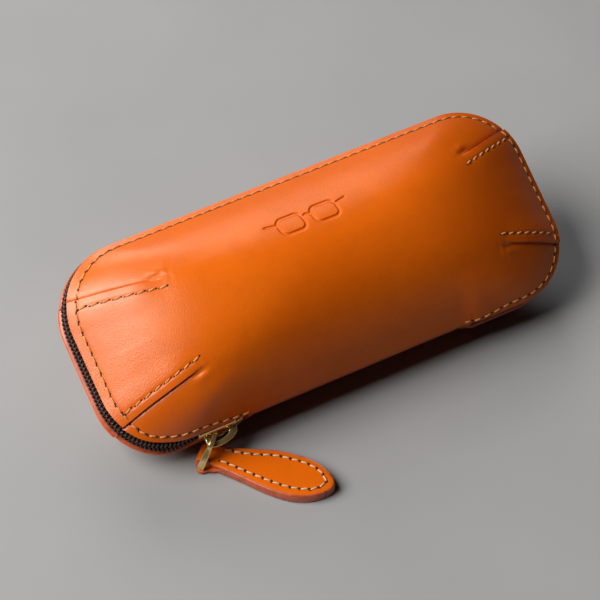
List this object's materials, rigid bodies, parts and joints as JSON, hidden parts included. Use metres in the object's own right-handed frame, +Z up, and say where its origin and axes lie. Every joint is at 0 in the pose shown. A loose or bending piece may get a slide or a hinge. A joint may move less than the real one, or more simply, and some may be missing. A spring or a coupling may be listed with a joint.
{
  "type": "zip-round glasses case",
  "caption": "Slim zip-round leather glasses case with a soft divider, a coil zipper on three sides and a leather zip pull.",
  "frame": {"origin": "middle of the flat patch that the closed case rests on, at the surface", "axes": "+X along the case towards its right end, seen from the spine; +Y from the spine side towards the zipper side; +Z up. The closed case lies rolled 29 degrees towards its spine."},
  "size_m": [0.162, 0.0922, 0.0541],
  "materials": {
    "leather_tan": "satin",
    "lining_suede": "matte",
    "zip_tape": "matte",
    "zip_coil": "satin",
    "brass": "satin",
    "thread_cream": "matte"
  },
  "bodies": {
    "base": {"lower_shell": "leather_tan", "lower_lining": "lining_suede", "spine_panel": "leather_tan", "spine_lining": "lining_suede", "zipper_tape_lower": "zip_tape", "zipper_coil_lower": "zip_coil", "top_stop_lower": "brass", "bottom_stop": "brass", "rim_thread_lower": "thread_cream", "dart_thread_lower": "thread_cream"},
    "lid": {"upper_shell": "leather_tan", "upper_lining": "lining_suede", "zipper_tape_upper": "zip_tape", "zipper_coil_upper": "zip_coil", "top_stop_upper": "brass", "rim_thread_upper": "thread_cream", "dart_thread_upper": "thread_cream"},
    "divider": {"divider_flap": "lining_suede"},
    "slider": {"slider_body": "brass", "slider_crown": "brass", "slider_lock_spring": "brass"},
    "link": {"pull_link": "brass"},
    "pull": {"pull_tab": "leather_tan", "pull_thread": "thread_cream"}
  },
  "joints": [
    {"name": "lid_hinge", "type": "hinge", "parent": "base", "child": "lid", "pos_m": [0, -0.02943, 0.01429], "axis": [1, 0, 0], "range_deg": [0, 80]},
    {"name": "divider_hinge", "type": "hinge", "parent": "base", "child": "divider", "pos_m": [0, -0.02541, 0.01229], "axis": [1, 0, 0], "range_deg": [0, 40]},
    {"name": "slider_run", "type": "slide", "parent": "base", "child": "slider", "axis": [-1, 0, 0], "range_m": [0, 0.004]},
    {"name": "link_swing", "type": "hinge", "parent": "slider", "child": "link", "pos_m": [-0.0525, -0.03095, 0.00899], "axis": [-1, 0, 0], "range_deg": [0, 30]},
    {"name": "pull_swing", "type": "hinge", "parent": "link", "child": "pull", "pos_m": [-0.0554, -0.02795, 0.0021], "axis": [-0.7071, -0.7071, 0], "range_deg": [0, 8]}
  ],
  "couplings": [
    {"joint": "divider_hinge", "follows": "lid_hinge", "ratio": 0.5}
  ]
}
